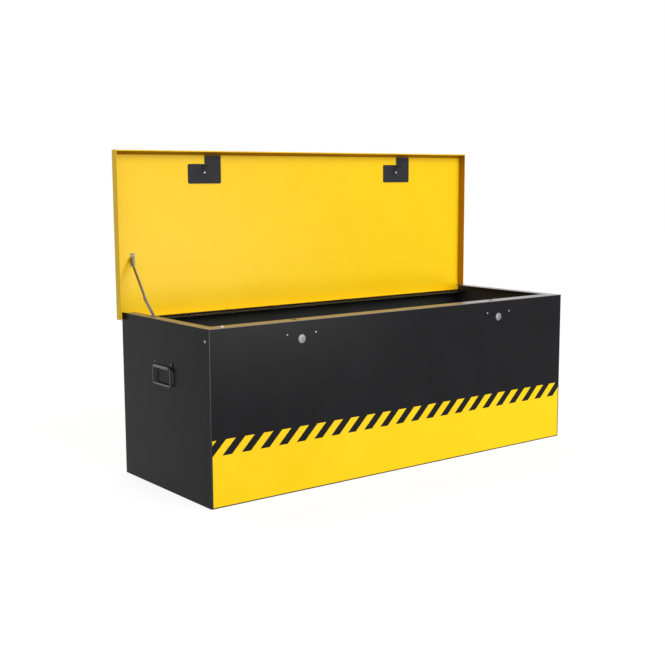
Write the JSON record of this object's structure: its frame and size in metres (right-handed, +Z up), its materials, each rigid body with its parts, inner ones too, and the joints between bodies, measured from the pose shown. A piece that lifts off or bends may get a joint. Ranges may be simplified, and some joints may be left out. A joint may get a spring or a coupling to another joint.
{
  "type": "site tool box",
  "caption": "Long folded steel tool chest with a full-width hinged lid, key locks with hooks, a folding lid stay and swinging end handles.",
  "frame": {"origin": "middle of the base's underside, on the face that the box stands on", "axes": "+X to the right along the front, +Y to the back, +Z up; the lid stands open at rest"},
  "size_m": [1.4228, 0.5179, 0.976],
  "materials": {
    "black_paint": "black powder coat, low sheen",
    "yellow_paint": "yellow powder coat, semi gloss",
    "black_plastic_coat": "dark grey coated steel, matt",
    "dark_steel": "black enamelled steel, semi gloss",
    "pale_nylon": "moulded nylon",
    "satin_chrome": "satin chrome plate",
    "zinc_steel": "bright zinc plate"
  },
  "bodies": {
    "chest": {"body_wrapper": "black_paint", "hinge_body_leaf": "black_paint", "hinge_bolts": "black_paint", "hinge_nuts": "zinc_steel", "hinge_pin": "zinc_steel", "left_end_panel": "black_paint", "left_end_rivets": "black_paint", "left_handle_plate": "dark_steel", "left_handle_rivets": "dark_steel", "left_lock_bracket": "black_paint", "left_lock_case": "satin_chrome", "left_lock_nut": "zinc_steel", "left_lock_rivets": "zinc_steel", "lid_buffers": "pale_nylon", "right_end_panel": "black_paint", "right_end_rivets": "black_paint", "right_handle_plate": "dark_steel", "right_handle_rivets": "dark_steel", "right_lock_bracket": "black_paint", "right_lock_case": "satin_chrome", "right_lock_nut": "zinc_steel", "right_lock_rivets": "zinc_steel", "stay_body_bracket": "black_paint", "stay_body_rivets": "black_paint", "stay_lower_pivot": "zinc_steel"},
    "lid": {"lid_panel": "yellow_paint", "hinge_lid_leaf": "black_paint", "hinge_lid_rivets": "black_paint", "left_keep_plate": "black_plastic_coat", "left_keep_fixings": "black_plastic_coat", "left_keep_stud": "zinc_steel", "right_keep_plate": "black_plastic_coat", "right_keep_fixings": "black_plastic_coat", "right_keep_stud": "zinc_steel", "stay_lid_bracket": "zinc_steel", "stay_lid_rivets": "zinc_steel", "stay_upper_pivot": "zinc_steel"},
    "left_lock": {"left_lock_plug": "satin_chrome", "left_lock_hook": "zinc_steel", "left_hook_nut": "zinc_steel"},
    "right_lock": {"right_lock_plug": "satin_chrome", "right_lock_hook": "zinc_steel", "right_hook_nut": "zinc_steel"},
    "stay_lower": {"stay_lower_arm": "zinc_steel"},
    "stay_upper": {"stay_upper_arm": "zinc_steel", "stay_mid_rivet": "zinc_steel"},
    "left_bail": {"left_handle_bail": "dark_steel"},
    "right_bail": {"right_handle_bail": "dark_steel"}
  },
  "joints": [
    {"name": "lid_hinge", "type": "hinge", "parent": "chest", "child": "lid", "pos_m": [0, 0.237, 0.473], "axis": [1, 0, 0], "range_deg": [0, 90]},
    {"name": "stay_lower_pivot_turn", "type": "hinge", "parent": "chest", "child": "stay_lower", "pos_m": [-0.664, 0.102, 0.48], "axis": [1, 0, 0], "range_deg": [-56.08, 0]},
    {"name": "stay_upper_pivot_turn", "type": "hinge", "parent": "lid", "child": "stay_upper", "pos_m": [-0.662, 0.255, 0.6485], "axis": [1, 0, 0], "range_deg": [0, 22.31]},
    {"name": "left_lock_turn", "type": "hinge", "parent": "chest", "child": "left_lock", "pos_m": [-0.3955, -0.25, 0.442], "axis": [0, -1, 0], "range_deg": [0, 90]},
    {"name": "right_lock_turn", "type": "hinge", "parent": "chest", "child": "right_lock", "pos_m": [0.3955, -0.25, 0.442], "axis": [0, -1, 0], "range_deg": [0, 90]},
    {"name": "left_bail_swing", "type": "hinge", "parent": "chest", "child": "left_bail", "pos_m": [-0.707, 0, 0.36], "axis": [0, 1, 0], "range_deg": [0, 110]},
    {"name": "right_bail_swing", "type": "hinge", "parent": "chest", "child": "right_bail", "pos_m": [0.707, 0, 0.36], "axis": [0, -1, 0], "range_deg": [0, 110]}
  ],
  "couplings": [
    {"joint": "stay_lower_pivot_turn", "follows": "lid_hinge", "ratio": -0.62298},
    {"joint": "stay_upper_pivot_turn", "follows": "lid_hinge", "ratio": 0.24776}
  ]
}
